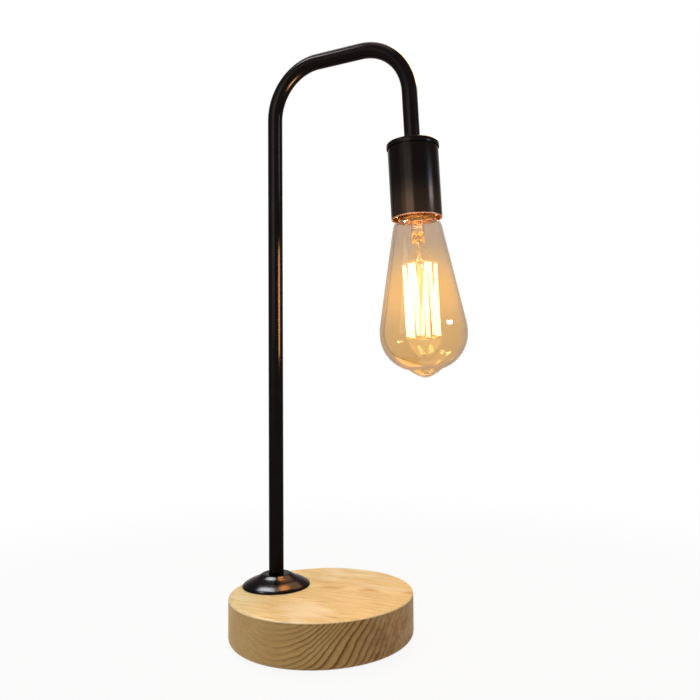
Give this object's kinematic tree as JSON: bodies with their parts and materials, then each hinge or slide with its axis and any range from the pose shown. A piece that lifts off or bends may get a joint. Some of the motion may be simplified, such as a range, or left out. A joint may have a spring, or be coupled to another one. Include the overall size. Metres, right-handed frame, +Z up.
{
  "type": "bare bulb table lamp",
  "caption": "Table lamp with a round wooden base, a bent black tube and a hanging screw holder with a clear amber filament bulb that unscrews.",
  "frame": {"origin": "centre of the face the lamp stands on, the underside of the felt pad", "axes": "+Z up; +X from the stem towards the hanging bulb; +Y completes the right-handed set"},
  "size_m": [0.1952, 0.145, 0.4675],
  "materials": {
    "pine": "oiled, growth rings showing",
    "felt": "pressed felt",
    "black_steel": "satin gunmetal black",
    "zinc_steel": "zinc plated",
    "rubber": "matt",
    "block_plastic": "moulded",
    "brass": "turned or pressed",
    "brown_core": "insulation",
    "blue_core": "insulation",
    "earth_core": "insulation",
    "porcelain": "glazed",
    "bronze": "spring bronze",
    "cap_insulator": "black glass insulation",
    "amber_glass": "clear, amber tint",
    "clear_glass": "clear",
    "nickel_wire": "nickel wire",
    "driver_board": "circuit board",
    "lit_filament": "coated LED stick, lit"
  },
  "bodies": {
    "lamp": {"wood_base": "pine", "felt_pad": "felt", "cover_plate": "zinc_steel", "cover_screws": "zinc_steel", "cord_bushing": "rubber", "base_flange": "black_steel", "terminal_block": "block_plastic", "terminal_inserts": "brass", "clamp_screws": "zinc_steel", "block_screws": "zinc_steel", "stem_tube": "black_steel", "stem_nipple": "zinc_steel", "flat_washer": "zinc_steel", "earth_tag": "brass", "lock_washer": "zinc_steel", "stem_nut": "zinc_steel", "live_core": "brown_core", "neutral_core": "blue_core", "earth_core": "earth_core", "holder_cap": "black_steel", "holder_cup": "black_steel", "holder_nipple": "zinc_steel", "holder_bridge": "zinc_steel", "holder_nut": "zinc_steel", "bridge_posts": "zinc_steel", "socket_screws": "zinc_steel", "socket_body": "porcelain", "screw_shell": "brass", "live_strap": "brass", "neutral_strap": "brass", "terminal_screws": "zinc_steel"},
    "contact_spring": {"contact_tongue": "bronze"},
    "bulb_carrier": {"bulb_contact": "zinc_steel"},
    "bulb": {"bulb_insulator": "cap_insulator", "bulb_cap": "brass", "bulb_driver": "driver_board", "bulb_glass": "amber_glass", "bulb_glass_stem": "clear_glass", "bulb_leads": "nickel_wire", "cage_wires": "nickel_wire", "filaments": "lit_filament"}
  },
  "joints": [
    {"name": "tongue_flex", "type": "hinge", "parent": "lamp", "child": "contact_spring", "pos_m": [0.07955, 0, 0.3512], "axis": [0, -1, 0], "range_deg": [0, 5], "stiffness_Nm_per_rad": 0.5},
    {"name": "bulb_travel", "type": "slide", "parent": "lamp", "child": "bulb_carrier", "axis": [0.0541, 0, -0.9985], "range_m": [0, 0.01452]},
    {"name": "bulb_turn", "type": "hinge", "parent": "bulb_carrier", "child": "bulb", "pos_m": [0.08606, 0, 0.32352], "axis": [0.0541, 0, -0.9985], "range_deg": [0, 1440]}
  ],
  "couplings": [
    {"joint": "bulb_travel", "follows": "bulb_turn", "m_per_rad": 0.00057757}
  ]
}
